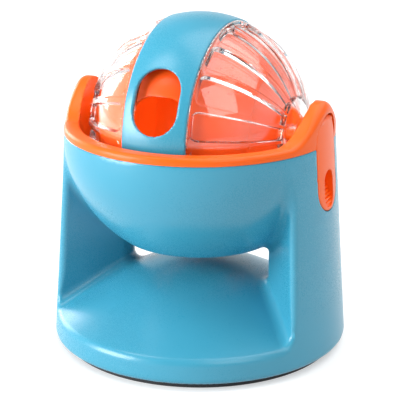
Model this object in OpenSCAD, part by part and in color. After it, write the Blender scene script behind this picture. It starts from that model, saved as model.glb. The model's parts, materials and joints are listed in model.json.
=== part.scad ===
// Treat ball on a stand: a ribbed clear ball turns in an orange cradle over a two-way treat tray.
// Millimetres. Origin on the table under the middle of the base, +Z up, front towards -Y.

/* [Stand] */
// Outer diameter at the bottom edge of the base
base_d = 133; // [120:1:150]
// Height of the stand's top edge above the table
stand_top = 97.6; // [92:0.2:104]
// Wall of the base, the columns and the tray
stand_wall = 3; // [2:0.25:4]
// Wall of the bowl
bowl_wall = 5.4; // [4.6:0.1:6]
// Height of the flat bottom edge of the bowl
bowl_bottom = 48.5; // [46:0.5:50]
// Narrowest width of the tunnel between the columns
waist_w = 69; // [60:1:78]
// Radius of the rounded ridge of each column
ridge_r = 10; // [6:0.5:14]
// Angle at which the tunnel walls open towards the front and the back
flare_angle = 40; // [30:1:45]
// Height up to which the columns are hollow
column_core_top = 58; // [40:1:62]

/* [Tray] */
// Height of the top of the hump under the drop hole
hump_top = 37; // [30:0.5:42]
// Radius of curvature of the hump
hump_r = 80; // [70:1:100]
// Distance from the middle at which the hump runs out into a straight slope
hump_run = 42; // [30:1:50]

/* [Base] */
// Height of the rubber foot that shows under the stand
foot_h = 3; // [2:0.25:5]
// Distance from the edge of the base to the rubber foot
foot_inset = 4.5; // [2:0.25:8]
// Width of the rubber foot
foot_w = 9; // [6:0.5:14]
// Depth of the groove that holds the rubber foot
foot_groove = 1.2; // [0.8:0.1:1.6]
// Thickness of the base plate
plate_t = 2.8; // [2.4:0.1:4]
// Distance of the screws from the middle
screw_circle_r = 45; // [40:1:48]
// Diameter of the screw shank
screw_d = 2.9; // [2.5:0.1:3.5]
// Diameter of the screw head
screw_head_d = 5.6; // [5:0.1:6.5]
// Height of the screw head
screw_head_h = 1.6; // [1.2:0.1:1.8]
// Length of the screw shank
screw_l = 10; // [8:0.5:12]
// Outer diameter of the screw bosses
boss_d = 8; // [7:0.5:10]

/* [Ball] */
// Height of the ball's axle above the table
axle_z = 99.7; // [98:0.1:102]
// Outer radius of the ball at its band
ball_r = 49.7; // [48:0.1:50.5]
// Width of the band
band_w = 29.4; // [26:0.2:34]
// Thickness of the band
band_t = 2.2; // [1.8:0.1:2.6]
// Depth by which the clear shells lie under the band's surface
shell_step = 0.4; // [0.2:0.1:0.8]
// Angle by which the slot is turned up from the front
slot_tilt = 24.6; // [0:0.2:60]
// Width of the treat slot
slot_w = 20.3; // [16:0.1:22]
// Length of the treat slot
slot_l = 29; // [24:0.5:36]

/* [Clear shells] */
// Wall of a clear shell, between its pockets
shell_wall = 4.4; // [3.8:0.1:5]
// Number of pockets round each shell
pocket_count = 18; // [12:1:24]
// Width of a land between two pockets, as an angle
land_angle = 4; // [3:0.5:6]
// Depth of a pocket
pocket_depth = 2.6; // [1.5:0.1:3]
// Distance from the band's edge to the pockets
pocket_margin = 1.4; // [1:0.1:4]
// Run of the sloping end wall of a pocket, along the axle
pocket_slope = 3.4; // [2:0.1:5]
// Corner radius of a pocket
pocket_corner = 3; // [1.5:0.1:4]
// Radius of the smooth cap round the pole
cap_r = 17; // [14:0.5:20]
// Thickness of the tongue that slides under the band
tongue_t = 2.5; // [2:0.1:2.8]
// Distance from the middle to the end of the tongue
tongue_x = 11; // [10.6:0.1:12]
// Thickness of the orange drum inside the shells
ring_t = 1.5; // [1.2:0.1:2]
// Radius of the round mouth at each end of the drum
mouth_r = 26; // [14:0.5:30]
// Width by which the drum stands back from the slot
ring_setback = 0.3; // [0.2:0.1:0.6]
// Width by which the drum's web between the tongues stands back from the slot
web_setback = 2.5; // [2:0.1:3]
// Outer diameter of the axle socket
socket_d = 8.4; // [7.5:0.1:10]
// Depth of the axle socket
socket_depth = 9; // [7:0.5:11]

/* [Axle pins] */
// Diameter of the axle pins
axle_d = 5; // [4:0.1:6]
// Diameter of the collar of an axle pin
collar_d = 8; // [7:0.1:9]
// Play between the ball and the collars, each side
axle_play = 0.5; // [0.3:0.1:1]
// Running clearance of the axle pins in their sockets, on the radius
running_gap = 0.05; // [0.03:0.01:0.08]
// Length of an axle pin in the cradle's wall
axle_seat = 2.5; // [2:0.1:2.5]

/* [Cradle] */
// Gap between the ball and the cradle
ball_gap = 3.8; // [2.5:0.1:4.5]
// Wall of the cradle's bowl
cradle_wall = 2.2; // [1.8:0.1:2.6]
// Gap between the cradle and the bowl that holds it
liner_gap = 0.4; // [0.2:0.1:0.6]
// Wall of the spigot round the drop hole
spigot_t = 1.7; // [1.2:0.1:2]
// Width of the cradle's rim, which ends flush with the stand
rim_w = 6.7; // [5.5:0.1:8]
// Height of the cradle's rim
rim_top = 102; // [100.5:0.25:106]
// Height of the ears
ear_top = 116.8; // [114:0.2:122]
// Half width of an ear where it runs out into the rim
ear_foot = 39; // [30:1:46]
// Diameter of the drop hole
drop_d = 56; // [48:1:60]

/* [Clips] */
// Width of a clip
clip_w = 21.5; // [18:0.5:24]
// Height of the lower end of a clip
clip_low = 68; // [66:0.5:72]
// Height of the upper end of a clip
clip_high = 110; // [107:0.5:112]
// Thickness of a clip
clip_t = 2.4; // [2:0.1:2.6]
// Gap round a clip
clip_gap = 0.35; // [0.3:0.05:0.6]
// Extra gap over the upper end of a clip, for its swing
swing_room = 0.6; // [0.5:0.1:1.2]
// Diameter of the clip's hinge pin
clip_pin_d = 2; // [1.6:0.1:2.2]
// Radius of the clip's hinge knuckle
knuckle_r = 2.4; // [2.1:0.1:2.6]
// Half width of the clip's hinge knuckle
knuckle_half = 6.6; // [5:0.2:7]
// Length of the hinge pin beyond the knuckle, each side
clip_pin_over = 2.6; // [2:0.2:3]
// Width of the finger dip
dip_w = 10; // [8:0.5:12]
// Height of the finger dip
dip_h = 16.5; // [14:0.5:18]
// Depth of the finger dip at its upper end
dip_depth = 4; // [3:0.1:4.2]
// Depth of the finger dip at its lower end
dip_step = 0.6; // [0.4:0.1:1]
// Height of the ramp in the finger dip
dip_ramp = 10; // [8:0.5:11]
// Distance from the lower end of a clip to its finger dip
dip_margin = 1.5; // [1:0.1:2]
// Wall behind the finger dip
dip_wall = 1; // [0.8:0.1:1.2]
// Number of grip ribs in the finger dip
rib_count = 6; // [4:1:8]
// Radius of a grip rib
rib_r = 0.55; // [0.4:0.05:0.7]

/* [Hidden] */
$fn = 96;

blue = [0.34, 0.72, 0.82];
orange = [0.98, 0.50, 0.25];
clear = [0.92, 0.95, 0.96, 0.35];
black = [0.17, 0.18, 0.20];
steel = [0.75, 0.76, 0.78];

far = 200;              // longer than the whole part, for cuts that run right through
spare = 5;              // by which a cut stands past what it cuts
fit_gap = 0.1;          // between pieces that are pressed, screwed or glued together
lip = 0.3;              // by which the spigot ends short of the bowl's edge, the ribs enter the walls
                        // and a pocket's outline passes the start of its ramp
base_r = base_d / 2;
hump_slope = hump_run / sqrt(hump_r * hump_r - hump_run * hump_run);
half_step = 180 / pocket_count;

// Radii of the ball's layers, from the outside in
band_in_r = ball_r - band_t;
shell_r = ball_r - shell_step;
shell_in_r = shell_r - shell_wall;
floor_r = shell_r - pocket_depth;
tongue_r = min(band_in_r - fit_gap, shell_in_r + tongue_t);
ring_r = shell_in_r - fit_gap;
ring_in_r = ring_r - ring_t;
drum_half = sqrt(ring_in_r * ring_in_r - mouth_r * mouth_r);

// Radii of the cradle and of the bowl that holds it
cradle_in_r = ball_r + ball_gap;
cradle_r = cradle_in_r + cradle_wall;
bowl_in_r = cradle_r + liner_gap;
bowl_r = bowl_in_r + bowl_wall;
rim_r = cradle_in_r + rim_w;
taper = (base_r - rim_r) / (stand_top - foot_h);
drop_r = drop_d / 2;
spigot_low = bowl_bottom + lip;
socket_floor = 1.5;

// Base: the plate lies inside the skirt, on the same level as its lower edge
skirt_in_r = base_r - stand_wall;
plate_r = skirt_in_r - taper * plate_t - fit_gap;
foot_out_r = base_r - foot_inset;
foot_in_r = foot_out_r - foot_w;
groove_side = 2;

// Clips: the hinge pin lies just under the upper end
clip_half = clip_w / 2;
hinge_z = clip_high - knuckle_r;
hinge_x = side_r(hinge_z) - knuckle_r;
recess_t = clip_t + clip_gap;
clip_pin_half = knuckle_half + clip_pin_over;
dip_low = clip_low + dip_margin;
dip_top = dip_low + dip_h;
dip_bend = dip_low + dip_ramp;
dip_x = side_r(dip_top) - dip_depth;
ramp_x = side_r(dip_low) - dip_step;

// Radius of the stand's outside at height z
function side_r(z) = base_r - taper * (z - foot_h);
// Points of a circular arc about [x, z], from one angle to another, about step degrees apart
function arc(x, z, r, from, to, step = 7.5) = let (n = ceil(abs(to - from) / step))
    [for (i = [0 : n]) let (a = from + (to - from) * i / n) [x + r * cos(a), z + r * sin(a)]];
// Height of the tray at distance r from the middle: a round cap that runs out into a slope
function hump_cap(r) = hump_top - hump_r + sqrt(hump_r * hump_r - r * r);
function hump_z(r) = r <= hump_run ? hump_cap(r) : hump_cap(hump_run) - (r - hump_run) * hump_slope;
// Height of the cradle's edge at distance y from the middle of an ear, within the ear's foot
function ear_z(y) = rim_top + (ear_top - rim_top) * (1 + cos(180 * y / ear_foot)) / 2;

// Lays a shape that is turned about Z along the ball's axle, to the right
module along_axle() { rotate([0, 90, 0]) children(); }
// Places a shape in the ball as it rests: slot_tilt turns the slot up from the front
module in_ball() { translate([0, 0, axle_z]) rotate([-slot_tilt, 0, 0]) children(); }
// The right-hand shape, or its mirror image on the left
module on_side(left) { if (left) mirror([1, 0, 0]) children(); else children(); }

// Stand

// The outer cone of the stand, drawn in by inset
module outer_cone(inset, z0, z1)
    translate([0, 0, z0]) cylinder(h = z1 - z0, r1 = side_r(z0) - inset, r2 = side_r(z1) - inset);

// Outline of the tunnel seen from above: two flared mouths and a rounded ridge on each side
module tunnel_outline(grow) {
    r = ridge_r - grow;
    cx = waist_w / 2 + ridge_r;
    out = base_r + spare;
    run = (out - r * sin(flare_angle)) * tan(flare_angle);
    mouth = cx - r * cos(flare_angle) + run;
    right = arc(cx, 0, r, 180 + flare_angle, 180 - flare_angle);
    left = arc(-cx, 0, r, flare_angle, -flare_angle);
    polygon(concat([[mouth, -out]], right, [[mouth, out], [-mouth, out]], left, [[-mouth, -out]]));
}

// The tray's hump down to the table, lowered by drop
module hump(drop) {
    edge = base_r + spare;
    steps = 10;
    cap = [for (i = [0 : steps]) hump_run * i / steps];
    rotate_extrude() polygon(concat([for (r = cap) [r, hump_z(r) - drop]],
        [[edge, hump_z(edge) - drop], [edge, 0], [0, 0]]));
}

// Places its children at the four screws
module at_screws()
    for (a = [45 : 90 : 315]) rotate([0, 0, a]) translate([screw_circle_r, 0, 0]) children();

// The hollow under the tray and in the columns
module base_hollow() {
    intersection() {
        outer_cone(stand_wall, 0, stand_top);
        union() {
            hump(stand_wall);
            difference() {
                translate([0, 0, foot_h]) cylinder(h = column_core_top - foot_h, r = base_r);
                linear_extrude(far) tunnel_outline(stand_wall);
            }
        }
    }
}

// Outline of a clip seen from its side, widened by grow and lengthened upwards by lift
module clip_outline(grow, lift) {
    r = clip_half + grow;
    low = clip_low + clip_half;
    high = clip_high - clip_half + lift;
    polygon(concat(arc(0, high, r, 0, 180), arc(0, low, r, 180, 360)));
}

// A prism along X, from x0 outwards, over a shape drawn in the Y-Z plane
module along_x(x0, length) translate([x0, 0, 0]) rotate([90, 0, 90]) linear_extrude(length) children();

// The skin of the stand and the ear, from the outside down to the given depth
module side_skin(depth) {
    low = clip_low - spare;
    high = clip_high + spare;
    rotate_extrude() polygon([[side_r(low) - depth, low], [side_r(low) + spare, low],
        [side_r(high) + spare, high], [side_r(high) - depth, high]]);
}

// Section of the finger dip in the X-Z plane: deep at the top, then a ramp to the surface
module dip_section(grow) {
    out = side_r(dip_low) + spare;
    polygon([[out, dip_top + grow], [dip_x - grow, dip_top + grow], [dip_x - grow, dip_bend],
        [ramp_x - grow, dip_low - grow / 2], [out, dip_low - grow / 2]]);
}

// Outline of the finger dip seen from its side: straight, with round ends
module dip_outline(grow) {
    half = dip_w / 2 + grow;
    polygon(concat(arc(0, dip_top - dip_w / 2, half, 0, 180), arc(0, dip_low + dip_w / 2, half, 180, 360)));
}

// The finger dip as a solid, widened by grow
module dip(grow) intersection() {
    translate([0, base_r, 0]) rotate([90, 0, 0]) linear_extrude(base_d) dip_section(grow);
    along_x(0, far) dip_outline(grow);
}

// A round bar along the clip's hinge, of the given half length and radius
module along_hinge(half, r)
    translate([hinge_x, 0, hinge_z]) rotate([90, 0, 0]) cylinder(h = 2 * half, r = r, center = true);

// Room for a clip in the stand and the ear
module clip_recess() {
    intersection() {
        side_skin(recess_t);
        along_x(0, far) clip_outline(clip_gap, swing_room);
    }
    dip(dip_wall + 2 * clip_gap);
    along_hinge(knuckle_half + clip_gap, knuckle_r + clip_gap);
}

// The round underside of the bowl, flat at its bottom edge
module bowl_underside() intersection() {
    translate([0, 0, axle_z]) sphere(r = bowl_r);
    translate([0, 0, bowl_bottom]) cylinder(h = far, r = base_r);
}

// The open space between the columns, from the tray up to the bowl
module tunnel() difference() {
    translate([0, 0, -spare]) linear_extrude(stand_top) tunnel_outline(0);
    hump(0);
    bowl_underside();
}

module stand() color(blue) difference() {
    outer_cone(0, foot_h, stand_top);
    tunnel();
    translate([0, 0, axle_z]) sphere(r = bowl_in_r);
    translate([0, 0, bowl_bottom - spare]) cylinder(h = 3 * spare, r = drop_r + spigot_t + fit_gap);
    difference() {
        base_hollow();
        at_screws() translate([0, 0, foot_h + plate_t]) cylinder(h = hump_top, d = boss_d);
    }
    at_screws() cylinder(h = foot_h + plate_t + screw_l, d = screw_d);
    for (left = [false, true]) on_side(left) clip_recess();
}

module base_plate() color(blue) difference() {
    translate([0, 0, foot_h]) cylinder(h = plate_t, r = plate_r);
    rotate_extrude() translate([foot_in_r + groove_side - fit_gap, 0])
        square([foot_w - 2 * groove_side + 2 * fit_gap, foot_h + foot_groove]);
    at_screws() {
        cylinder(h = foot_h + plate_t + spare, r = screw_d / 2 + fit_gap);
        cylinder(h = foot_h + screw_head_h, r = screw_head_d / 2 + fit_gap);
    }
}

module foot_ring() color(black) rotate_extrude() {
    translate([foot_in_r, 0]) square([foot_w, foot_h]);
    translate([foot_in_r + groove_side, foot_h / 2])
        square([foot_w - 2 * groove_side, foot_h / 2 + foot_groove - fit_gap]);
}

module base_screws() color(steel) at_screws() {
    translate([0, 0, foot_h + screw_head_h - fit_gap]) cylinder(h = screw_l, r = screw_d / 2 - fit_gap);
    translate([0, 0, foot_h]) cylinder(h = screw_head_h - fit_gap, d = screw_head_d);
}

// Cradle

// Section of the cradle's bowl, rim and drop spigot
module cradle_section() {
    spigot_r = drop_r + spigot_t;
    step = 3;
    inside = arc(0, axle_z, cradle_in_r, asin(drop_r / cradle_in_r) - 90, 0, step);
    flange = [[cradle_in_r, ear_top], [rim_r, ear_top], [rim_r, stand_top]];
    under_flange = -asin((axle_z - stand_top) / cradle_r);
    outside = arc(0, axle_z, cradle_r, under_flange, asin(spigot_r / cradle_r) - 90, step);
    polygon(concat([[drop_r, spigot_low]], inside, flange, outside, [[spigot_r, spigot_low]]));
}

// Everything under the edge of the cradle, seen from the side: the rim, and an ear that rises from it
module cradle_edge() {
    steps = 28;
    ear = [for (i = [0 : steps]) let (y = ear_foot * (2 * i / steps - 1)) [y, ear_z(y)]];
    polygon(concat([[-base_r, 0], [-base_r, rim_top]], ear, [[base_r, rim_top], [base_r, 0]]));
}

module cradle() color(orange) difference() {
    intersection() {
        rotate_extrude() cradle_section();
        along_x(-base_r, base_d) cradle_edge();
    }
    for (left = [false, true]) on_side(left) {
        clip_recess();
        translate([0, 0, axle_z]) along_axle() cylinder(h = far, r = axle_d / 2 + fit_gap / 2);
        along_hinge(clip_pin_half + fit_gap, clip_pin_d / 2 + fit_gap / 2);
    }
}

module pivot_pin() {
    tip = shell_r - socket_depth + axle_play;
    root = cradle_in_r + axle_seat;
    seat = sqrt(cradle_in_r * cradle_in_r - collar_d * collar_d / 4) - fit_gap / 2;
    translate([0, 0, axle_z]) along_axle() {
        translate([0, 0, tip]) cylinder(h = root - tip, d = axle_d);
        translate([0, 0, shell_r + axle_play]) cylinder(h = seat - shell_r - axle_play, d = collar_d);
    }
}
module pivot_pin_left() color(orange) on_side(true) pivot_pin();
module pivot_pin_right() color(orange) on_side(false) pivot_pin();

// Clips

// The grip ribs on the ramp of the finger dip
module grip_ribs() {
    foot = [ramp_x, dip_low];
    head = [dip_x, dip_bend];
    for (i = [1 : rib_count]) {
        p = foot + (head - foot) * i / (rib_count + 1);
        translate([p[0], 0, p[1]]) rotate([90, 0, 0]) cylinder(h = dip_w + 2 * lip, r = rib_r, center = true);
    }
}

module clip() {
    difference() {
        union() {
            intersection() {
                difference() {
                    outer_cone(0, clip_low, hinge_z);
                    outer_cone(clip_t, clip_low - spare, hinge_z + spare);
                }
                along_x(0, far) clip_outline(0, 0);
            }
            intersection() {
                dip(dip_wall);
                outer_cone(0, clip_low, hinge_z);
            }
            intersection() {
                along_hinge(knuckle_half, knuckle_r);
                along_x(0, far) clip_outline(0, swing_room / 2);
            }
        }
        difference() {
            dip(0);
            grip_ribs();
        }
        along_hinge(clip_half, clip_pin_d / 2 + running_gap);
    }
}
module clip_left() color(orange) on_side(true) clip();
module clip_right() color(orange) on_side(false) clip();

module clip_pin() along_hinge(clip_pin_half, clip_pin_d / 2);
module clip_pin_left() color(steel) on_side(true) clip_pin();
module clip_pin_right() color(steel) on_side(false) clip_pin();

// Ball

// The slot as a rounded prism pointing out of the front of the ball, widened by grow
module slot_cut(grow) {
    r = slot_w / 2 + grow;
    half = slot_l / 2 - slot_w / 2;
    rotate([90, 0, 0]) linear_extrude(far)
        polygon(concat(arc(0, half, r, 0, 180), arc(0, -half, r, 180, 360)));
}

// Half section of a layer of the ball, between two radii and two distances from the middle
module layer(r_out, r_in, x0, x1) intersection() {
    difference() {
        circle(r = r_out);
        circle(r = r_in);
    }
    translate([0, x0]) square([r_out, x1 - x0]);
}

// A half section turned about the axle
module turned() along_axle() rotate_extrude() children();

module ball_band() color(blue) in_ball() difference() {
    turned() layer(ball_r, band_in_r, -band_w / 2, band_w / 2);
    slot_cut(0);
}

module inner_ring() color(orange) in_ball() {
    web = tongue_x - fit_gap;
    difference() {
        turned() layer(ring_r, ring_in_r, -drum_half, drum_half);
        slot_cut(ring_setback);
    }
    difference() {
        turned() layer(tongue_r, ring_r - ring_t / 2, -web, web);
        slot_cut(web_setback);
    }
}

// One pocket of a shell, over the land-to-land angle at the front, as the piece that is cut away
module pocket() {
    x0 = band_w / 2 + pocket_margin;
    start = x0 - lip;
    r0 = sqrt(shell_r * shell_r - x0 * x0);
    half_angle = half_step - land_angle / 2;
    fall = r0 - sqrt(floor_r * floor_r - pow(x0 + pocket_slope, 2));
    half = r0 * tan(half_angle);
    c = pocket_corner;
    step = 18;
    side = far * tan(half_angle);
    corners = concat(arc(start + c, c - half, c, 270, 180, step), arc(start + c, half - c, c, 180, 90, step));
    difference() {
        intersection() {
            along_x(start, ball_r) polygon([[0, 0], [-far, -side], [-far, side]]);
            rotate([90, 0, 0]) linear_extrude(far)
                polygon(concat(corners, [[ball_r, half + c], [ball_r, -half - c]]));
        }
        sphere(r = floor_r);
        along_axle() cylinder(h = ball_r, r = cap_r);
        along_axle() translate([0, 0, x0 - pocket_slope])
            cylinder(h = 3 * pocket_slope, r1 = r0 + fall, r2 = r0 - 2 * fall);
    }
}

// Half section of a clear shell: the wall, the tongue under the band and the axle socket
module shell_section() difference() {
    union() {
        layer(shell_r, shell_in_r, band_w / 2 + fit_gap, ball_r);
        layer(tongue_r, shell_in_r, tongue_x, band_w / 2 + tongue_t);
        translate([0, shell_r - socket_depth - socket_floor]) square([socket_d / 2, socket_depth]);
    }
    translate([0, shell_r - socket_depth]) square([axle_d / 2 + running_gap, far]);
}

module shell() in_ball() difference() {
    turned() shell_section();
    for (i = [0 : pocket_count - 1]) rotate([half_step * (2 * i + 1), 0, 0]) pocket();
}
module shell_left() color(clear) on_side(true) shell();
module shell_right() color(clear) on_side(false) shell();

stand();
foot_ring();
base_plate();
base_screws();
cradle();
pivot_pin_left();
pivot_pin_right();
clip_left();
clip_right();
clip_pin_left();
clip_pin_right();
ball_band();
inner_ring();
shell_left();
shell_right();
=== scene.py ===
import json

import bpy
import numpy as np
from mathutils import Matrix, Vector


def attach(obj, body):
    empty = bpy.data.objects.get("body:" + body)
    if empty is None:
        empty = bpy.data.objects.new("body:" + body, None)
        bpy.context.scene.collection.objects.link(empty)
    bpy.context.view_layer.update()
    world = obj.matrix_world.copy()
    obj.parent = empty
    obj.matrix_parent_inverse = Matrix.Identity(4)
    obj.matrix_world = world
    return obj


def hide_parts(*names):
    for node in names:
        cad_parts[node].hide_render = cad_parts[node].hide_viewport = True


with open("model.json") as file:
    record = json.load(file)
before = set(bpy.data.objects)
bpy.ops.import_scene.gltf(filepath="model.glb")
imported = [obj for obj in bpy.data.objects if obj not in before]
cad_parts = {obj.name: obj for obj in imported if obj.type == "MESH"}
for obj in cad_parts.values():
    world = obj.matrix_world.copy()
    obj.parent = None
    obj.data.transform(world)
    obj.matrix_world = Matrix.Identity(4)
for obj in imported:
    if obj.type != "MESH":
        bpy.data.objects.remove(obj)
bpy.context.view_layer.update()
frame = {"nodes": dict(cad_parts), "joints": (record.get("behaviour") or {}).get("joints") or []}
print("frame loaded,", len(frame["nodes"]), "solids")

mm = 0.001  # shapes are worked out in millimetres and written to the meshes in metres
place = {joint["name"]: np.array(joint["pos_m"]) / mm for joint in frame["joints"]}
axleZ = place["ball_spin"][2]
hingeX, hingeZ = place["clip_right_flip"][0], place["clip_right_flip"][2]
scene = bpy.context.scene

# Meshes from fields: a field is negative inside a shape and zero on its skin

meshing = {
    "coarse": 1.0,  # times every piece's grid step
    "probe": 0.02,  # part of a grid step over which a slope is taken
    "halvings": 9,  # halvings of a grid edge to find the skin on it
    "hold": 0.03,  # pull of a cell's point towards the middle of its crossings
    "crease": 24.0,  # degrees between a face and its field past which a corner is sharp
    "tiny": 1e-12,  # keeps a length off zero
}


def roundMax(a, b, r):
    # larger of two fields, the corner that they share turned into an arc of radius r
    return np.minimum(-r, np.maximum(a, b)) + np.hypot(np.maximum(a + r, 0), np.maximum(b + r, 0))


def ease(low, high, t):
    # smooth step from 0 at low to 1 at high
    u = np.clip((t - low) / (high - low), 0, 1)
    return u * u * (3 - 2 * u)


def unit(vectors):
    # each row at length one
    return vectors / np.maximum(np.linalg.norm(vectors, axis=1, keepdims=True), meshing["tiny"])


def slope(field, points, step):
    # unit gradient of a field by central differences
    parts = []
    for axis in range(3):
        shift = np.zeros(3)
        shift[axis] = meshing["probe"] * step
        parts.append(field(*(points + shift).T) - field(*(points - shift).T))
    return unit(np.stack(parts, axis=1))


def crossings(field, axes, value, axis):
    # grid edges along one axis that pass through the skin: the points, and the cells round each as a face
    inside = value < 0
    low = [slice(None)] * 3
    high = [slice(None)] * 3
    low[axis], high[axis] = slice(None, -1), slice(1, None)
    index = np.argwhere(inside[tuple(low)] != inside[tuple(high)])
    start = np.stack([axes[k][index[:, k]] for k in range(3)], axis=1)
    end = start.copy()
    end[:, axis] = axes[axis][index[:, axis] + 1]
    outward = inside[tuple(index.T)]
    near, far = np.zeros(len(index)), np.ones(len(index))
    for _ in range(meshing["halvings"]):
        middle = (near + far) / 2
        same = (field(*(start + (end - start) * middle[:, None]).T) < 0) == outward
        near, far = np.where(same, middle, near), np.where(same, far, middle)
    points = start + (end - start) * ((near + far) / 2)[:, None]
    cells = []
    b, c = (axis + 1) % 3, (axis + 2) % 3
    for db, dc in ((-1, -1), (0, -1), (0, 0), (-1, 0)):
        cell = index.copy()
        cell[:, b] += db
        cell[:, c] += dc
        cells.append(np.ravel_multi_index(cell.T, value.shape))
    cells = np.stack(cells, axis=1)
    return points, np.where(outward[:, None], cells, cells[:, ::-1])


def contour(field, low, high, step):
    # dual contouring: each grid cell on the skin gets the point nearest to all its tangent planes,
    # so rounded parts come out smooth and creases stay sharp
    axes = [np.arange(a, b + step, step) for a, b in zip(low, high)]
    grid = np.meshgrid(*axes, indexing="ij", sparse=True)
    value = field(*grid)
    found = [crossings(field, axes, value, axis) for axis in range(3)]
    points = np.concatenate([f[0] for f in found])
    cells = np.concatenate([f[1] for f in found])
    normals = slope(field, points, step)
    used, owner = np.unique(cells, return_inverse=True)
    owner = owner.reshape(cells.shape)

    def gather(amount):
        # sum over the crossings of each cell
        return np.bincount(owner.ravel(), np.repeat(amount, 4), minlength=len(used))

    count = gather(np.ones(len(points)))
    centre = np.stack([gather(points[:, k]) for k in range(3)], axis=1) / count[:, None]
    planes = np.empty((len(used), 3, 3))
    for i in range(3):
        for j in range(3):
            planes[:, i, j] = gather(normals[:, i] * normals[:, j])
    reach = np.sum(normals * points, axis=1)
    pull = np.stack([gather(normals[:, k] * reach) for k in range(3)], axis=1)
    pull -= np.einsum("nij,nj->ni", planes, centre)
    planes += np.eye(3) * (meshing["hold"] * count)[:, None, None]
    verts = centre + np.linalg.solve(planes, pull[:, :, None])[:, :, 0]
    corner = np.stack(np.unravel_index(used, value.shape), axis=1)
    cellLow = np.stack([axes[k][corner[:, k]] for k in range(3)], axis=1)
    return np.clip(verts, cellLow, cellLow + step), owner


def newPiece(name, verts, faces, finish, body, stands, normals=None, sharpAngle=None):
    # a mesh from arrays, with its material, its body and the solid that it stands for
    mesh = bpy.data.meshes.new(name)
    if isinstance(faces, np.ndarray):
        sides = faces.shape[1]
        mesh.vertices.add(len(verts))
        mesh.vertices.foreach_set("co", (np.asarray(verts) * mm).astype(np.float32).ravel())
        mesh.loops.add(faces.size)
        mesh.loops.foreach_set("vertex_index", faces.astype(np.int32).ravel())
        mesh.polygons.add(len(faces))
        mesh.polygons.foreach_set("loop_start", np.arange(0, faces.size, sides, dtype=np.int32))
        mesh.update(calc_edges=True)
    else:
        mesh.from_pydata((np.asarray(verts) * mm).tolist(), [], faces)
    mesh.validate()
    mesh.polygons.foreach_set("use_smooth", np.ones(len(mesh.polygons), bool))
    if sharpAngle is not None:
        mesh.set_sharp_from_angle(angle=np.radians(sharpAngle))
    if normals is not None:
        mesh.normals_split_custom_set(normals.tolist())
    mesh.materials.append(finish)
    piece = bpy.data.objects.new(name, mesh)
    scene.collection.objects.link(piece)
    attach(piece, body)
    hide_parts(stands)
    print(" ", name, len(mesh.vertices), "points,", len(mesh.polygons), "faces")


def fieldPiece(name, field, low, high, step, finish, body, stands):
    # the skin of a field; a corner of a face takes the field's own normal unless a crease runs there
    step = step * meshing["coarse"]
    verts, faces = contour(field, low, high, step)
    across = verts[faces[:, 2]] - verts[faces[:, 0]]
    along = verts[faces[:, 3]] - verts[faces[:, 1]]
    flat = unit(np.cross(across, along))[:, None, :]
    corner = slope(field, verts, step)[faces]
    agree = np.sum(corner * flat, axis=2) > np.cos(np.radians(meshing["crease"]))
    normals = np.where(agree[:, :, None], corner, flat).reshape(-1, 3)
    newPiece(name, verts, faces, finish, body, stands, normals=normals)


# Finishes


class Wire:
    # a socket: + - and * between wires and numbers add Math nodes
    def __init__(self, paint, socket):
        self.paint, self.socket = paint, socket

    def maths(self, operation, a, b):
        return self.paint.node("ShaderNodeMath", {"operation": operation}, {0: a, 1: b})

    def __add__(self, other):
        return self.maths("ADD", self, other)

    def __radd__(self, other):
        return self.maths("ADD", other, self)

    def __sub__(self, other):
        return self.maths("SUBTRACT", self, other)

    def __rsub__(self, other):
        return self.maths("SUBTRACT", other, self)

    def __mul__(self, other):
        return self.maths("MULTIPLY", self, other)

    def __rmul__(self, other):
        return self.maths("MULTIPLY", other, self)


class Paint:
    # a material or world whose nodes are added one by one
    def __init__(self, owner):
        owner.use_nodes = True
        self.owner, self.tree = owner, owner.node_tree

    def node(self, kind, settings, sockets, output=0):
        made = self.tree.nodes.new(kind)
        for key, value in settings.items():
            setattr(made, key, value)
        self.feed(made, sockets)
        return Wire(self, made.outputs[output])

    def feed(self, node, sockets):
        for key, value in sockets.items():
            if isinstance(value, Wire):
                self.tree.links.new(value.socket, node.inputs[key])
            else:
                node.inputs[key].default_value = value

    def spot(self, kind="Object"):
        return self.node("ShaderNodeTexCoord", {}, {}, kind)

    def part(self, vector, axis):
        return self.node("ShaderNodeSeparateXYZ", {}, {0: vector}, axis)

    def ray(self, kind):
        return self.node("ShaderNodeLightPath", {}, {}, kind)

    def larger(self, one, other):
        return self.node("ShaderNodeMath", {"operation": "MAXIMUM"}, {0: one, 1: other})

    def fade(self, value, start, end):
        # 0 at the start, 1 at the end, straight between them
        return self.node("ShaderNodeMapRange", {}, {"Value": value, "From Min": start, "From Max": end})

    def noise(self, scale, detail):
        return self.node("ShaderNodeTexNoise", {},
                         {"Vector": self.spot(), "Scale": scale, "Detail": detail})

    def blend(self, share, one, other):
        return self.node("ShaderNodeMix", {"data_type": "RGBA"}, {0: share, 6: one, 7: other}, 2)

    def bump(self, height, strength, distance):
        return self.node("ShaderNodeBump", {},
                         {"Height": height, "Strength": strength, "Distance": distance})

    def skin(self, sockets):
        self.feed(self.tree.nodes["Principled BSDF"], sockets)
        return self.owner


def linear(red, green, blue):
    # screen colour, 0 to 255, as the linear colour that nodes take
    part = np.array([red, green, blue]) / 255
    part = np.where(part <= 0.04045, part / 12.92, ((part + 0.055) / 1.055) ** 2.4)
    return (*part.tolist(), 1.0)


# A noise is given as its scale and detail, a bump as its strength and its height in metres
plastics = {
    "blue": {"dark": linear(55, 149, 178), "pale": linear(64, 158, 187), "rough": 0.28, "gloss": 0.5},
    "orange": {"dark": linear(252, 96, 14), "pale": linear(255, 106, 22), "rough": 0.32, "gloss": 0.28},
}
moulded = {
    "cloud": (22.0, 3.0), "grain": (2600.0, 2.0), "flow": (70.0, 1.0),
    "cloudRough": 0.10, "grainRough": 0.08, "grainHeight": 0.7, "flowHeight": 0.3,
    "bump": (0.10, 0.0002), "index": 1.54,
}


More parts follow.
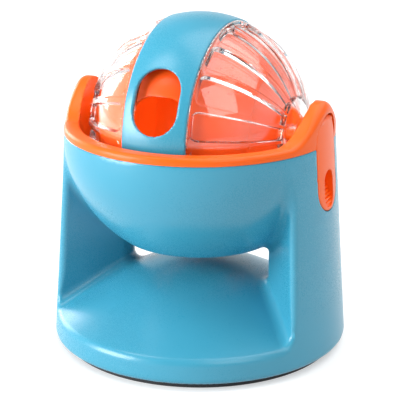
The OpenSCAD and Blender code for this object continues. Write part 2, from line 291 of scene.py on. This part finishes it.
def mouldedPlastic(name):
    # two close shades mixed by slow cloud noise, fine spark grain in the bump, uneven gloss
    look, m = plastics[name], moulded
    paint = Paint(bpy.data.materials.new(name + " moulded plastic"))
    cloud = paint.noise(*m["cloud"])
    grain = paint.noise(*m["grain"])
    flow = paint.noise(*m["flow"])
    return paint.skin({
        "Base Color": paint.blend(cloud, look["dark"], look["pale"]),
        "Roughness": look["rough"] + (cloud - 0.5) * m["cloudRough"] + (grain - 0.5) * m["grainRough"],
        "Normal": paint.bump(grain * m["grainHeight"] + flow * m["flowHeight"], *m["bump"]),
        "Specular IOR Level": look["gloss"],
        "IOR": m["index"],
    })


clear = {
    "tint": (0.975, 0.985, 0.985, 1.0), "flow": (45.0, 1.5), "haze": (400.0, 2.0),
    "rough": 0.015, "hazeRough": 0.03, "bump": (0.03, 0.0004), "shadowPass": 0.95, "index": 1.58,
}


def clearPlastic():
    # polished polycarbonate: faint flow lines in the bump, slight haze
    paint = Paint(bpy.data.materials.new("clear plastic"))
    return paint.skin({
        "Base Color": clear["tint"],
        "Roughness": clear["rough"] + paint.noise(*clear["haze"]) * clear["hazeRough"],
        "Normal": paint.bump(paint.noise(*clear["flow"]), *clear["bump"]),
        "Alpha": 1 - paint.ray("Is Shadow Ray") * clear["shadowPass"],  # light reaches what lies behind it
        "Transmission Weight": 1.0,
        "IOR": clear["index"],
    })


rubber = {
    "dark": linear(34, 35, 38), "pale": linear(52, 54, 58), "dust": (60.0, 4.0), "grain": (1500.0, 2.0),
    "rough": 0.62, "dustRough": 0.2, "bump": (0.25, 0.0002),
}


def blackRubber():
    # matt black rubber with a fine sandy grain and dusty patches
    paint = Paint(bpy.data.materials.new("black rubber"))
    dust = paint.noise(*rubber["dust"])
    return paint.skin({
        "Base Color": paint.blend(dust, rubber["dark"], rubber["pale"]),
        "Roughness": rubber["rough"] + dust * rubber["dustRough"],
        "Normal": paint.bump(paint.noise(*rubber["grain"]), *rubber["bump"]),
    })


steel = {
    "dark": (0.55, 0.56, 0.58, 1.0), "pale": (0.68, 0.69, 0.71, 1.0), "marks": (900.0, 3.0),
    "rough": 0.25, "marksRough": 0.15, "bump": (0.08, 0.0001),
}


def plainSteel():
    # plain steel with fine turning marks
    paint = Paint(bpy.data.materials.new("steel"))
    marks = paint.noise(*steel["marks"])
    return paint.skin({
        "Base Color": paint.blend(marks, steel["dark"], steel["pale"]),
        "Metallic": 1.0,
        "Roughness": steel["rough"] + marks * steel["marksRough"],
        "Normal": paint.bump(marks, *steel["bump"]),
    })


blueFinish = mouldedPlastic("blue")
orangeFinish = mouldedPlastic("orange")
clearFinish = clearPlastic()
rubberFinish = blackRubber()
steelFinish = plainSteel()
print("finishes made")

# Stand

stand = {
    "footZ": 3.0, "topZ": 97.6, "baseR": 66.5, "rimR": 60.2, "wall": 3.0,
    "bowlR": 61.5, "bowlInR": 56.1, "bowlZ": 48.5, "dropR": 29.8, "dropRun": 6.0,
    "waist": 34.5, "ridgeR": 10.0, "flare": 40.0,
    "humpZ": 37.0, "humpR": 80.0, "humpRun": 36.0,
    "plateZ": 6.2,
    "rimEdge": 0.9, "footEdge": 2.6, "bowlEdge": 1.0, "trayFillet": 5.5, "bowlFillet": 4.5,
    "columnEdge": 3.6, "trayEdge": 2.0, "shoulderEdge": 1.8,
    "columnRise": (14.0, 34.0), "shoulderRise": (76.0, 92.0),  # heights between which the edges change
    "gridZ": (1.2, 99.6), "gridMargin": 2.0, "step": 1.2,
}
clip = {
    "half": 10.75, "low": 68.0, "high": 110.0, "thick": 2.4, "gap": 0.35, "lift": 0.6,
    "knuckleR": 2.4, "knuckleHalf": 6.6, "pinR": 1.05,
    "dipHalf": 5.0, "dipLow": 69.5, "dipTop": 86.0, "dipBend": 79.5, "dipDepth": 4.0, "dipStep": 0.6,
    "dipWall": 1.0, "dipFillet": 1.0, "dipEdge": 0.25, "ribs": 6, "ribR": 0.55, "edge": 0.55,
    "gridX": (52.5, 63.0), "gridHalf": 11.6, "gridZ": (67.0, 111.0), "step": 0.42,
}
taper = (stand["baseR"] - stand["rimR"]) / (stand["topZ"] - stand["footZ"])


def sideR(z):
    # radius of the stand's outer cone at height z
    return stand["baseR"] - taper * (z - stand["footZ"])


def clipOutline(y, z, grow, lift):
    # distance to a bar with round ends that stands upright
    low, high = clip["low"] + clip["half"], clip["high"] - clip["half"] + lift
    return np.hypot(y, z - np.clip(z, low, high)) - clip["half"] - grow


def fingerDip(x, y, z, grow):
    # a round-ended hollow, deep behind its upper end, with a ramp that comes out to the skin below
    half = clip["dipHalf"] + grow
    low, high = clip["dipLow"] + clip["dipHalf"], clip["dipTop"] - clip["dipHalf"]
    outline = np.hypot(y, z - np.clip(z, low, high)) - half
    deepX = sideR(clip["dipTop"]) - clip["dipDepth"] - grow
    rampX = sideR(clip["dipLow"]) - clip["dipStep"] - grow
    lean = (rampX - deepX) / (clip["dipBend"] - clip["dipLow"])
    ramp = (deepX + (clip["dipBend"] - z) * lean - x) / np.hypot(1, lean)
    return np.maximum(outline, roundMax(deepX - x, ramp, clip["dipFillet"]))


def clipRoom(x, y, z):
    # what a clip needs in the stand and the ear: its outline to the depth of its plate,
    # the dip and the knuckle
    x = np.abs(x)
    floor = sideR(z) - clip["thick"] - clip["gap"] - np.hypot(x, y)
    plate = np.maximum(clipOutline(y, z, clip["gap"], clip["lift"]), floor)
    dip = fingerDip(x, y, z, clip["dipWall"] + 2 * clip["gap"])
    knuckle = np.hypot(x - hingeX, z - hingeZ) - clip["knuckleR"] - clip["gap"]
    knuckle = np.maximum(knuckle, np.abs(y) - clip["knuckleHalf"] - clip["gap"])
    return np.minimum(np.minimum(plate, dip), knuckle)


def columnWall(x, y):
    # distance to a column seen from above: a wedge towards the middle, its tip an arc
    s = stand
    lean = np.radians(90 - s["flare"])
    qx, qy = np.abs(x) - s["waist"] - s["ridgeR"], np.abs(y)
    ahead = qx * np.cos(lean) + qy * np.sin(lean)
    off = qy * np.cos(lean) - qx * np.sin(lean)
    return np.where(ahead > 0, off, np.hypot(qx, qy)) - s["ridgeR"]


def trayGap(rho, z):
    # how far a point lies under the tray: a round cap that runs out into a straight slope
    s = stand
    inner = np.minimum(rho, s["humpRun"])
    drop = np.sqrt(s["humpR"] ** 2 - inner**2)
    steep = inner / drop
    height = s["humpZ"] - s["humpR"] + drop - (rho - inner) * steep
    return (height - z) / np.hypot(1, steep)


def standField(x, y, z):
    # an upright cone, less the tunnel between the columns, the bowl's hollow, the drop hole,
    # the plate's seat and the room for the clips
    s = stand
    rho = np.hypot(x, y)
    away = np.hypot(rho, z - axleZ)
    body = roundMax(rho - sideR(z), z - s["topZ"], s["rimEdge"])
    body = roundMax(body, s["footZ"] - z, s["footEdge"])
    bowl = roundMax(away - s["bowlR"], s["bowlZ"] - z, s["bowlEdge"])
    tunnel = roundMax(-columnWall(x, y), trayGap(rho, z), s["trayFillet"])
    tunnel = roundMax(tunnel, -bowl, s["bowlFillet"])
    edge = s["trayEdge"] + (s["columnEdge"] - s["trayEdge"]) * ease(*s["columnRise"], z)
    edge = edge + (s["shoulderEdge"] - s["columnEdge"]) * ease(*s["shoulderRise"], z)
    solid = roundMax(body, -tunnel, edge)
    solid = roundMax(solid, s["bowlInR"] - away, s["rimEdge"])
    drop = np.maximum(rho - s["dropR"], s["bowlZ"] - s["dropRun"] - z)
    solid = roundMax(solid, -drop, s["rimEdge"])
    seat = np.maximum(rho - sideR(z) + s["wall"], z - s["plateZ"])
    solid = np.maximum(solid, -seat)
    return np.maximum(solid, -clipRoom(x, y, z))


standReach = stand["baseR"] + stand["gridMargin"]
fieldPiece("stand_moulding", standField, (-standReach, -standReach, stand["gridZ"][0]),
           (standReach, standReach, stand["gridZ"][1]), stand["step"],
           blueFinish, "root", "stand")

# Cradle

cradle = {
    "inR": 53.5, "outR": 55.7, "rimZ": 100.9, "earZ": 116.0, "earFoot": 26.5, "pinR": 2.55,
    "dropR": 28.0, "spigotT": 1.7, "spigotZ": 48.8, "spigotDepth": 44.0,  # its depth is under the axle
    "rimEdge": 1.9, "earEdge": 3.6, "innerEdge": 0.9,
    "earRise": (103.0, 114.0),  # heights between which the edge changes
    "gridZ": (47.3, 118.6), "gridMargin": 2.0, "step": 1.05,
}


def cradleTop(y, z):
    # height above the cradle's edge: ears rise from the rim as one cosine wave
    c = cradle
    lift = c["earZ"] - c["rimZ"]
    t = np.clip(np.abs(y) / c["earFoot"], 0, 1)
    height = c["rimZ"] + lift * (1 + np.cos(np.pi * t)) / 2
    steep = lift * np.sin(np.pi * t) * np.pi / 2 / c["earFoot"]
    return (z - height) / np.hypot(1, steep)


def cradleField(x, y, z):
    # a round bowl with a flange and ears, hollow inside, with a spigot round the drop hole
    c = cradle
    rho = np.hypot(x, y)
    away = np.hypot(rho, z - axleZ)
    flange = np.maximum(rho - stand["rimR"], stand["topZ"] - z)
    spigot = np.maximum(rho - c["dropR"] - c["spigotT"], c["spigotZ"] - z)
    spigot = np.maximum(spigot, z - axleZ + c["spigotDepth"])
    outside = np.minimum(np.minimum(away - c["outR"], flange), spigot)
    edge = c["rimEdge"] + (c["earEdge"] - c["rimEdge"]) * ease(*c["earRise"], z)
    solid = roundMax(outside, cradleTop(y, z), edge)
    hollow = c["inR"] - np.hypot(rho, np.minimum(z - axleZ, 0))
    solid = roundMax(solid, hollow, c["innerEdge"])
    solid = np.maximum(solid, c["dropR"] - rho)
    bore = np.hypot(y, z - axleZ) - c["pinR"]
    return np.maximum(np.maximum(solid, -bore), -clipRoom(x, y, z))


cradleReach = stand["rimR"] + cradle["gridMargin"]
fieldPiece("cradle_liner", cradleField, (-cradleReach, -cradleReach, cradle["gridZ"][0]),
           (cradleReach, cradleReach, cradle["gridZ"][1]), cradle["step"],
           orangeFinish, "root", "cradle")

# Clips, whose settings stand by the stand's, because the stand and the cradle leave room for them


def clipField(x, y, z):
    # a curved plate with a finger dip and its ribs, hung from a knuckle; both sides alike
    c = clip
    x = np.abs(x)
    rho = np.hypot(x, y)
    fromPin = np.hypot(x - hingeX, z - hingeZ)
    plate = roundMax(rho - sideR(z), clipOutline(y, z, 0, 0), c["edge"])
    plate = np.maximum(plate, sideR(z) - c["thick"] - rho)
    plate = np.maximum(plate, z - hingeZ)
    dipBack = np.maximum(fingerDip(x, y, z, c["dipWall"]), rho - sideR(z))
    knuckleEnd = np.maximum(np.abs(y) - c["knuckleHalf"], clipOutline(y, z, 0, c["lift"] / 2))
    knuckle = roundMax(fromPin - c["knuckleR"], knuckleEnd, c["edge"])
    solid = np.minimum(np.minimum(plate, dipBack), knuckle)
    footX, headX = sideR(c["dipLow"]) - c["dipStep"], sideR(c["dipTop"]) - c["dipDepth"]
    ribs = []
    for i in range(1, c["ribs"] + 1):
        share = i / (c["ribs"] + 1)
        ribX = footX + (headX - footX) * share
        ribZ = c["dipLow"] + (c["dipBend"] - c["dipLow"]) * share
        ribs.append(np.hypot(x - ribX, z - ribZ) - c["ribR"])
    dip = np.maximum(fingerDip(x, y, z, 0), -np.minimum.reduce(ribs))
    solid = roundMax(solid, -dip, c["dipEdge"])
    return np.maximum(solid, c["pinR"] - fromPin)


for side, sign in (("right", 1), ("left", -1)):
    ends = sorted(sign * x for x in clip["gridX"])
    fieldPiece(side + "_clip", clipField, (ends[0], -clip["gridHalf"], clip["gridZ"][0]),
               (ends[1], clip["gridHalf"], clip["gridZ"][1]), clip["step"],
               orangeFinish, "clip_" + side, "clip_" + side)
print("stand, cradle and clips made")

# Ball: a band round a thin drum, between two clear shells

ball = {"tilt": 24.6, "slotHalf": 10.15, "slotRun": 4.35, "gridMargin": 1.5}
band = {"outR": 49.7, "inR": 47.5, "half": 14.7, "edge": 0.7, "slotEdge": 0.8, "step": 0.72}
drum = {
    "outR": 44.8, "inR": 43.3, "half": 34.6, "endT": 1.5, "endFillet": 3.0, "edge": 0.3,
    "webR": 47.4, "webHalf": 10.9, "webGap": 2.5,
    "windowDrop": 15.0, "windowHalf": 12.8, "windowRun": 17.9, "windowCorner": 9.5, "windowEdge": 0.6,
    "step": 0.90,
    # the third colour is a painted glow: a paler orange painted on the inside for light through the thin
    # wall
    "dark": linear(248, 80, 14), "pale": linear(254, 92, 22), "paintedGlow": linear(255, 140, 40),
    "skinStart": -0.4, "skinEnd": -1.0,  # depths between which the skin's colour gives way to the painted glow, a paler orange painted on the inside for light that comes through the thin wall
    "rough": 0.30, "bump": (0.08, 0.0002), "shadowPass": 0.96, "index": 1.47,
}


def drumPlastic():
    # moulded plastic in a thin wall: its inside is painted a paler orange, a painted glow that stands in
    # for the light that comes through the wall
    paint = Paint(bpy.data.materials.new("red orange thin plastic"))
    cloud = paint.noise(*moulded["cloud"])
    grain = paint.noise(*moulded["grain"])
    spot = paint.spot()
    away = paint.node("ShaderNodeVectorMath", {"operation": "DISTANCE"},
                      {0: spot, 1: (0, 0, axleZ * mm)}, "Value")
    across = paint.node("ShaderNodeMath", {"operation": "ABSOLUTE"}, {0: paint.part(spot, "X")})
    skinGap = paint.larger(away - drum["outR"] * mm, across - drum["half"] * mm)
    paintedGlowShare = paint.fade(skinGap, drum["skinStart"] * mm, drum["skinEnd"] * mm)
    shade = paint.blend(cloud, drum["dark"], drum["pale"])
    return paint.skin({
        # the inside surfaces get the painted glow, a paler orange for light through the wall
        "Base Color": paint.blend(paintedGlowShare, shade, drum["paintedGlow"]),
        "Roughness": drum["rough"] + (cloud - 0.5) * moulded["cloudRough"],
        "Normal": paint.bump(grain, *drum["bump"]),
        "Alpha": 1 - paint.ray("Is Shadow Ray") * drum["shadowPass"],
        "IOR": drum["index"],
    })


def ballSpot(x, y, z):
    # distance from the ball's middle, height along the slot, and how far to the slot's side of the ball
    lean = np.radians(ball["tilt"])
    up = z - axleZ
    away = np.sqrt(x**2 + y**2 + up**2)
    along = y * np.sin(lean) + up * np.cos(lean)
    ahead = up * np.sin(lean) - y * np.cos(lean)
    return away, along, ahead


def slotField(x, along, ahead, grow):
    # a prism with round ends that points out of the ball
    beyond = along - np.clip(along, -ball["slotRun"], ball["slotRun"])
    return np.maximum(np.hypot(x, beyond) - ball["slotHalf"] - grow, -ahead)


def bandField(x, y, z):
    # a round layer between two flat sides, with the slot
    away, along, ahead = ballSpot(x, y, z)
    solid = roundMax(away - band["outR"], np.abs(x) - band["half"], band["edge"])
    solid = np.maximum(solid, band["inR"] - away)
    return roundMax(solid, -slotField(x, along, ahead, 0), band["slotEdge"])


def drumField(x, y, z):
    # a thinner layer inside, with a wider window that lies lower than the slot, a web that fills the space
    # between the shells' tongues, and flat ends
    d = drum
    away, along, ahead = ballSpot(x, y, z)
    side = np.abs(x)
    height = np.abs(along + d["windowDrop"]) - d["windowRun"]
    window = np.maximum(roundMax(side - d["windowHalf"], height, d["windowCorner"]), -ahead)
    layer = np.maximum(away - d["outR"], side - d["half"])
    web = np.maximum(away - d["webR"], side - d["webHalf"])
    web = np.maximum(web, -slotField(x, along, ahead, d["webGap"]))
    hollow = roundMax(away - d["inR"], side - d["half"] + d["endT"], d["endFillet"])
    solid = roundMax(np.minimum(layer, web), -hollow, d["edge"])
    return roundMax(solid, -window, d["windowEdge"])


ballReach = band["outR"] + ball["gridMargin"]
for name, field, layer, finish, slotName, stands in (
    ("ball_hoop", bandField, band, blueFinish, "blue_plastic", "ball_band"),
    ("drum_ring", drumField, drum, drumPlastic(), "orange_plastic", "inner_ring"),
):
    half = layer["half"] + ball["gridMargin"]
    fieldPiece(name, field, (-half, -ballReach, axleZ - ballReach), (half, ballReach, axleZ + ballReach),
               layer["step"], finish, "ball", stands)

shell = {
    "outR": 49.3, "inR": 44.9, "edgeX": 14.8, "tongueR": 47.4, "tongueX": 11.0,
    "boreR": 2.55, "boreX": 40.3, "bossR": 4.2, "bossX": 38.8, "cornerR": 0.45,
    "pockets": 18, "depth": 2.6, "land": 4.0, "capR": 17.0, "capRun": 0.8,
    "rimX": 16.1, "pocketR": 3.0, "endRun": 1.0, "endFillet": 0.3, "wallRun": 0.6, "wallR": 46.0,
    "skinT": 0.25, "skinX": 0.2,  # the skin's points lie this near the outer radius, this far from the band
    "stops": (12.0, 19.8, 22.2, 64.5),  # degrees from the axle at which the rows turn closer or wider
    "skinRows": (7, 6, 11, 30, 54),
    "tongueRows": 5, "insideRows": 18, "boreRows": 6, "cornerRows": 4,
    "floorColumns": 6, "wallColumns": 8, "landColumns": (0.35, 0.7, 1.0),
    "sharp": 50.0,
}


def arcPoints(radius, start, end, count):
    # points of a circle about the ball's middle, by angle from the axle
    angle = np.linspace(start, end, count)
    return np.stack([radius * np.cos(angle), radius * np.sin(angle)], axis=1)


def levelPoints(start, end, r, count):
    # points of a line along the axle at radius r
    return np.stack([np.linspace(start, end, count), np.full(count, r)], axis=1)


def joinPath(stretches, radius):
    # stretches of a profile one after the other, with each corner cut to a short curve
    most = 0.45  # of the way to the next point
    t = np.linspace(0, 1, shell["cornerRows"])[:, None]
    path = [stretches[0][:-1]]
    for before, after in zip(stretches[:-1], stretches[1:]):
        corner = after[0]
        back, front = before[-2] - corner, after[1] - corner
        a = corner + back * min(radius / np.linalg.norm(back), most)
        b = corner + front * min(radius / np.linalg.norm(front), most)
        path.append((1 - t) ** 2 * a + 2 * t * (1 - t) * corner + t**2 * b)
        path.append(after[1:-1])
    path.append(stretches[-1][-1:])
    return np.concatenate(path)


def shellProfile():
    # half section from the axle out over the skin, round the tongue and back inside to the axle
    s = shell
    mouth = np.arcsin(s["boreR"] / s["outR"])
    edge = np.arccos(s["edgeX"] / s["outR"])
    tongue = np.arccos(s["edgeX"] / s["tongueR"]), np.arccos(s["tongueX"] / s["tongueR"])
    inner = np.arccos(s["tongueX"] / s["inR"]), np.arcsin(s["bossR"] / s["inR"])
    stops = [mouth, *np.radians(s["stops"]), edge]
    skin = [arcPoints(s["outR"], a, b, n)[:-1] for a, b, n in zip(stops, stops[1:], s["skinRows"])]
    skin = np.concatenate(skin + [arcPoints(s["outR"], edge, edge, 1)])
    under = arcPoints(s["tongueR"], *tongue, s["tongueRows"])
    inside = arcPoints(s["inR"], *inner, s["insideRows"])
    bore = levelPoints(s["boreX"], skin[0, 0], s["boreR"], s["boreRows"])
    floor = np.array([bore[0] * [1, 0], bore[0] * [1, 0.5], bore[0]])
    step = np.array([skin[-1], (skin[-1] + under[0]) / 2, under[0]])
    end = np.array([under[-1], (under[-1] + inside[0]) / 2, inside[0]])
    boss = levelPoints(inside[-1, 0], s["bossX"], s["bossR"], s["boreRows"])
    cap = np.array([boss[-1], boss[-1] * [1, 0.5], boss[-1] * [1, 0]])
    return joinPath([floor, bore, skin, step, under, end, inside, boss, cap], s["cornerR"])


def pocketColumns(x):
    # angle of every column round the axle, and how far it is sunk: columns keep to the pockets' walls,
    # which round in at the band's end
    s = shell
    step = np.pi / s["pockets"]
    run, corner = s["wallRun"] / s["wallR"], s["pocketR"] / s["wallR"]
    near = np.clip(1 - (x - s["rimX"]) / s["pocketR"], 0, 1)
    half = step - np.radians(s["land"]) / 2 - corner * (1 - np.sqrt(1 - near**2))
    level = np.linspace(0, 1, s["floorColumns"])
    climb = np.linspace(0, 1, s["wallColumns"])[1:]
    top = np.array(s["landColumns"])
    one = [(half - run) * level, half - run + run * climb, half + (step - half) * top]
    one = np.concatenate(one, axis=1)
    sunk = np.concatenate([np.ones(len(level)), 1 - ease(0, 1, climb), np.zeros(len(top))])
    pocket = np.concatenate([-one[:, :0:-1], one[:, :-1]], axis=1)
    sunk = np.concatenate([sunk[:0:-1], sunk[:-1]])
    middle = np.radians(ball["tilt"]) + step * (2 * np.arange(s["pockets"]) + 1)
    turn = middle[None, :, None] + pocket[:, None, :]
    return turn.reshape(len(x), -1), np.tile(sunk, s["pockets"])


def turnedFaces(rows, columns):
    # quads between the rings of a profile that is turned right round; the first and last rows are poles
    ring = np.arange(columns)
    after = (ring + 1) % columns
    start = 1 + np.arange(rows - 3)[:, None] * columns
    end = start + columns
    quads = np.stack([start + ring, start + after, end + after, end + ring], axis=2)
    lastRing = 1 + (rows - 3) * columns
    pole = np.full(columns, lastRing + columns)
    firstFan = np.stack([np.zeros(columns, int), after + 1, ring + 1], axis=1)
    lastFan = np.stack([pole, lastRing + ring, lastRing + after], axis=1)
    return quads.reshape(-1, 4).tolist() + firstFan.tolist() + lastFan.tolist()


def shellPiece(side, sign):
    # the profile turned about the axle; the skin is pushed in at the pockets, which end in a steep ramp
    s = shell
    profile = shellProfile()
    x, r = profile[1:-1, 0][:, None], profile[1:-1, 1][:, None]
    reach = np.hypot(x, r)
    turn, sunk = pocketColumns(x)
    fall = -roundMax((s["rimX"] - x) * s["depth"] / s["endRun"], -s["depth"], s["endFillet"])
    ramp = roundMax(fall, 0, s["endFillet"]) / s["depth"] * ease(0, s["capRun"], r - s["capR"])
    onSkin = (reach > s["outR"] - s["skinT"]) & (x > s["edgeX"] + s["skinX"])
    scale = 1 - s["depth"] * np.where(onSkin, np.minimum(sunk, ramp), 0) / reach
    x, r = sign * x * scale, r * scale
    rings = np.stack([x, -r * np.cos(turn), axleZ + r * np.sin(turn)], axis=2)
    poles = [np.array([[sign * profile[k, 0], 0, axleZ]]) for k in (0, -1)]
    verts = np.concatenate([poles[0], rings.reshape(-1, 3), poles[1]])
    faces = turnedFaces(len(profile), turn.shape[1])
    if sign < 0:
        faces = [face[::-1] for face in faces]
    newPiece(side + "_shell", verts, faces, clearFinish, "ball", "shell_" + side,
             sharpAngle=s["sharp"])


shellPiece("right", 1)
shellPiece("left", -1)
print("ball made")

# Foot

foot = {"outR": 62.0, "inR": 53.0, "topZ": 3.0, "edge": 0.7, "steps": 240, "arcSteps": 6, "sharp": 40.0}


def footPiece():
    # a flat ring with rounded corners, turned right round
    f = foot
    e, steps = f["edge"], f["steps"]
    outer, inner, high = f["outR"] - e, f["inR"] + e, f["topZ"] - e
    arc = np.linspace(0, np.pi / 2, f["arcSteps"])
    corners = ((outer, e, -np.pi / 2), (outer, high, 0), (inner, high, np.pi / 2), (inner, e, np.pi))
    section = np.concatenate([
        np.stack([r + e * np.cos(start + arc), z + e * np.sin(start + arc)], axis=1)
        for r, z, start in corners
    ])
    width = len(section)
    turn = (np.arange(steps) * 2 * np.pi / steps)[:, None]
    height = np.broadcast_to(section[:, 1], (steps, width))
    rings = np.stack([section[:, 0] * np.cos(turn), section[:, 0] * np.sin(turn), height], axis=2)
    around, along = np.meshgrid(np.arange(steps), np.arange(width), indexing="ij")
    here, after = around * width, (around + 1) % steps * width
    nextAlong = (along + 1) % width
    faces = np.stack([here + along, after + along, after + nextAlong, here + nextAlong], axis=2)
    newPiece("rubber_foot", rings.reshape(-1, 3), faces.reshape(-1, 4), rubberFinish, "root",
             "foot_ring", sharpAngle=f["sharp"])


footPiece()

# Solids that keep their shape and get a finish

keptSolids = {
    "base_plate": blueFinish, "base_screws": steelFinish,
    "pivot_pin_left": orangeFinish, "pivot_pin_right": orangeFinish,
    "clip_pin_left": steelFinish, "clip_pin_right": steelFinish,
}
for node, finish in keptSolids.items():
    solid = frame["nodes"][node]
    solid.data.materials.clear()
    solid.data.materials.append(finish)
print("solids finished")

# Camera and lights

camera = {
    "at": (0.2714, -0.5943, 0.2770), "aim": (0.0, 0.0, 0.06403),
    "lens": 137.04, "sensor": 36.0, "near": 0.01, "far": 20.0,
}
lights = {  # watts, size in metres, place
    "key": (26.0, 0.80, (-0.98, -1.00, 0.38)),
    "top": (10.5, 1.20, (0.30, 0.30, 1.10)),
    "fill": (3.6, 0.70, (0.74, -0.58, 0.84)),
    "side": (6.0, 0.60, (-1.10, 0.45, 0.36)),
    "edge": (1.8, 0.35, (-0.42, -0.30, 0.95)),
}
lightAim = (0.0, 0.0, 0.07)


def standAt(item, spot, aim):
    # puts a camera or a lamp at its spot and turns it towards its aim
    scene.collection.objects.link(item)
    item.location = spot
    item.rotation_euler = (Vector(aim) - Vector(spot)).to_track_quat("-Z", "Y").to_euler()


lens = bpy.data.cameras.new("camera")
lens.lens, lens.sensor_width = camera["lens"], camera["sensor"]
lens.clip_start, lens.clip_end = camera["near"], camera["far"]
viewer = bpy.data.objects.new("camera", lens)
standAt(viewer, camera["at"], camera["aim"])
scene.camera = viewer

for name, (watts, size, spot) in lights.items():
    lamp = bpy.data.lights.new(name, "AREA")
    lamp.energy, lamp.size = watts, size
    standAt(bpy.data.objects.new(name, lamp), spot, lightAim)

# Sky and floor

sky = {
    "lamp": 0.28,  # light that it gives
    "level": 1.0, "zenith": 0.35, "frontShade": 0.6,  # what the camera, mirrors and glass see of it
    "rise": (0.20, 0.70), "front": (-0.35, -0.75),  # where it turns greyer overhead and darker in front
}
ground = {
    "half": 4.0, "grey": 0.62,
    "glow": 0.48, "farGlow": 0.80, "run": (0.25, 1.10),  # a glow that is only seen, near and far
}


def seenShare(paint):
    # one for rays that the camera, a mirror or glass sends out, zero for the rest
    seen = paint.ray("Is Camera Ray")
    for kind in ("Is Glossy Ray", "Is Transmission Ray"):
        seen = paint.larger(seen, paint.ray(kind))
    return seen


scene.world = bpy.data.worlds.new("studio")
air = Paint(scene.world)
heading = air.spot("Generated")
overhead = air.fade(air.part(heading, "Z"), *sky["rise"])
front = air.fade(air.part(heading, "Y"), *sky["front"])
shown = sky["level"] + overhead * (sky["zenith"] - sky["level"])
shown = shown * (1 - front * sky["frontShade"])
air.feed(air.tree.nodes["Background"], {
    "Color": (1.0, 1.0, 1.0, 1.0),
    "Strength": sky["lamp"] + seenShare(air) * (shown - sky["lamp"]),
})

floorMesh = bpy.data.meshes.new("floor")
h = ground["half"]
floorMesh.from_pydata([(-h, -h, 0), (h, -h, 0), (h, h, 0), (-h, h, 0)], [], [(0, 1, 2, 3)])
floor = bpy.data.objects.new("floor", floorMesh)
scene.collection.objects.link(floor)
cover = Paint(bpy.data.materials.new("floor"))
span = cover.node("ShaderNodeVectorMath", {"operation": "LENGTH"}, {0: cover.spot()}, "Value")
distant = cover.fade(span, *ground["run"])
floorMesh.materials.append(cover.skin({
    "Base Color": (ground["grey"],) * 3 + (1.0,),
    "Roughness": 1.0,
    "Specular IOR Level": 0.0,
    "Emission Color": seenShare(cover) * (ground["glow"] + distant * (ground["farGlow"] - ground["glow"])),
    "Emission Strength": 1.0,
}))

bounces = {"glossy": 12, "all": 16}  # light turns many times inside the clear walls
scene.view_settings.view_transform = "Standard"
scene.cycles.glossy_bounces = bounces["glossy"]
scene.cycles.max_bounces = bounces["all"]
print("stage set")
